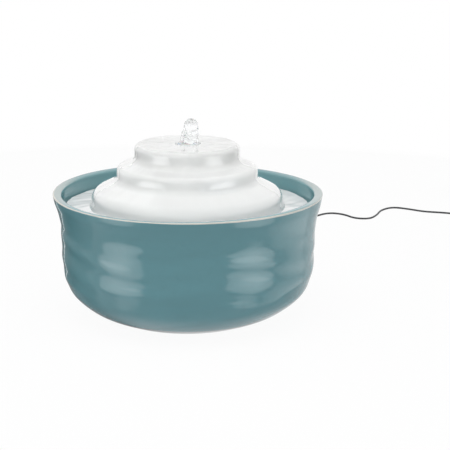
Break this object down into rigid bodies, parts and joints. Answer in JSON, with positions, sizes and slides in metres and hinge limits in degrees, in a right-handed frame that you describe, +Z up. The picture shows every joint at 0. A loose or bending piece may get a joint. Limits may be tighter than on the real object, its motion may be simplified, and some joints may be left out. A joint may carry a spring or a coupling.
{
  "type": "pet water fountain",
  "caption": "Ceramic pet water fountain: rippled teal bowl, white tiered dome with a bubbling jet, small submersible pump, strainer, lead and mains adapter.",
  "frame": {"origin": "centre of the fountain's base, on the surface it stands on", "axes": "+Z up; +Y to the back, where the lead crosses the rim; +X to the right seen from the front"},
  "size_m": [0.5514, 0.7464, 0.202],
  "materials": {
    "glaze_teal": "gloss glaze over thrown ripples",
    "glaze_white": "gloss glaze",
    "water": "clear moving water",
    "silicone": "translucent silicone",
    "rubber": "matt black rubber",
    "pump_plastic": "fine moulded texture",
    "strainer_plastic": "fine moulded texture",
    "regulator_plastic": "moulded",
    "rotor_plastic": "moulded",
    "ferrite": "ground ferrite",
    "shaft_ceramic": "polished",
    "core_steel": "stacked laminations",
    "copper_wire": "enamelled wire",
    "board": "solder mask",
    "resin": "cast resin",
    "sponge": "open-cell foam",
    "carbon": "granular carbon felt",
    "lead_jacket": "dark grey jacket",
    "adapter_plastic": "fine spark-eroded texture",
    "pin_metal": "nickel plated"
  },
  "bodies": {
    "base": {"bowl": "glaze_teal", "foot_pads": "rubber", "riser_tube": "silicone", "pump_housing": "pump_plastic", "potting": "resin", "suction_cups": "rubber", "volute_cover": "pump_plastic", "volute_seal": "rubber", "front_bush": "rubber", "rear_bush": "rubber", "impeller_shaft": "shaft_ceramic", "thrust_washers": "shaft_ceramic", "stator_core": "core_steel", "stator_windings": "copper_wire", "circuit_board": "board", "cable_gland": "rubber", "pump_lead": "lead_jacket", "cord_grommet": "rubber", "power_cord": "lead_jacket", "cord_coil": "lead_jacket", "cord_tail": "lead_jacket", "adapter_relief": "rubber", "adapter_base": "adapter_plastic", "adapter_case": "adapter_plastic", "adapter_nose": "adapter_plastic", "adapter_pins": "pin_metal"},
    "dome": {"dome": "glaze_white", "nozzle_grommet": "silicone", "water_jet": "water"},
    "impeller": {"impeller": "rotor_plastic", "rotor_magnet": "ferrite"},
    "intake_cover": {"intake_cover": "strainer_plastic", "filter_sponge": "sponge", "carbon_pad": "carbon"},
    "flow_regulator": {"flow_regulator": "regulator_plastic"}
  },
  "joints": [
    {"name": "dome_lift", "type": "slide", "parent": "base", "child": "dome", "axis": [0, 0, 1], "range_m": [0, 0.09]},
    {"name": "impeller_spin", "type": "hinge", "parent": "base", "child": "impeller", "pos_m": [-0.01585, 0, 0.038], "axis": [0, -1, 0], "continuous": true},
    {"name": "strainer_pull", "type": "slide", "parent": "base", "child": "intake_cover", "axis": [0, -1, 0], "range_m": [0, 0.02]},
    {"name": "regulator_turn", "type": "hinge", "parent": "intake_cover", "child": "flow_regulator", "pos_m": [-0.01585, -0.025, 0.038], "axis": [0, -1, 0], "range_deg": [0, 45]}
  ]
}
